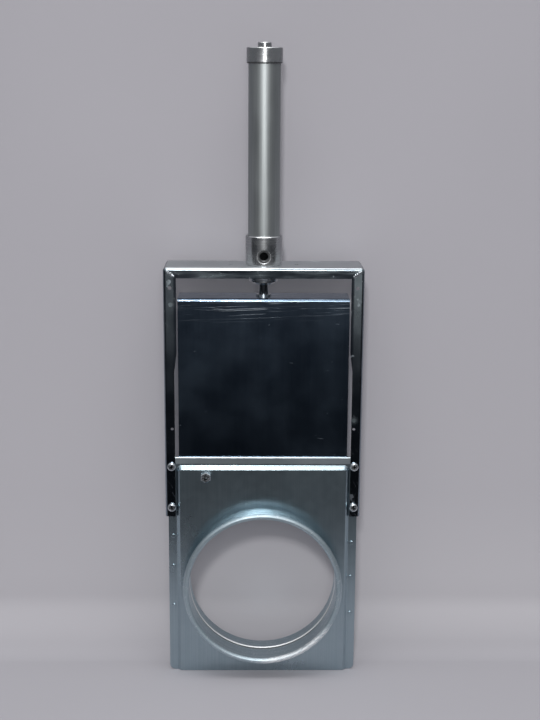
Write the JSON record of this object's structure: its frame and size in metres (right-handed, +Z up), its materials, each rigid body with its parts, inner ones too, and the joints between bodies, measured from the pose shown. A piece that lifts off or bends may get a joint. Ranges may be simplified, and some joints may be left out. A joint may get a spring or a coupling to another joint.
{
  "type": "pneumatic slide gate",
  "caption": "Galvanised slide gate for a round lipped extraction duct: a flat blade in a sheet body, drawn up and down by a round pneumatic cylinder on a folded yoke.",
  "frame": {"origin": "centre of the duct opening on the middle plane of the blade", "axes": "+Z up along the cylinder, Y along the duct with the front facing -Y, X across the gate"},
  "size_m": [0.2092, 0.075, 0.6763],
  "materials": {
    "galvanised_sheet": "galvanised, satin",
    "collar_sheet": "galvanised, drawn, satin",
    "blade_sheet": "zinc coated, smooth",
    "yoke_sheet": "zinc coated, smooth",
    "plated_fastener": "bright zinc plated",
    "cap_aluminium": "turned",
    "barrel_steel": "drawn, satin",
    "rod_chrome": "ground and chromed",
    "bush_bronze": "sintered bronze",
    "seal_rubber": "matt black",
    "liner_plastic": "natural polyethylene",
    "piston_aluminium": "turned",
    "guide_plastic": "acetal"
  },
  "bodies": {
    "housing": {"front_plate": "galvanised_sheet", "rear_plate": "galvanised_sheet", "front_collar": "collar_sheet", "rear_collar": "collar_sheet", "guide_liner": "liner_plastic", "body_rivets": "plated_fastener", "earth_nut": "plated_fastener", "yoke": "yoke_sheet", "frame_screws": "plated_fastener", "frame_nuts": "plated_fastener", "front_end_cap": "cap_aluminium", "nose_nut": "plated_fastener", "rod_bush": "bush_bronze", "rod_seal": "seal_rubber", "barrel": "barrel_steel", "rear_end_cap": "cap_aluminium", "front_barrel_seal": "seal_rubber", "rear_barrel_seal": "seal_rubber", "front_bumper": "seal_rubber", "rear_bumper": "seal_rubber"},
    "gate": {"blade": "blade_sheet", "piston_rod": "rod_chrome", "piston": "piston_aluminium", "piston_seals": "seal_rubber", "piston_guide_ring": "guide_plastic", "piston_nut": "plated_fastener", "rod_washer": "plated_fastener", "rod_nut": "plated_fastener"}
  },
  "joints": [
    {"name": "blade_slide", "type": "slide", "parent": "housing", "child": "gate", "axis": [0, 0, -1], "range_m": [0, 0.166]}
  ]
}
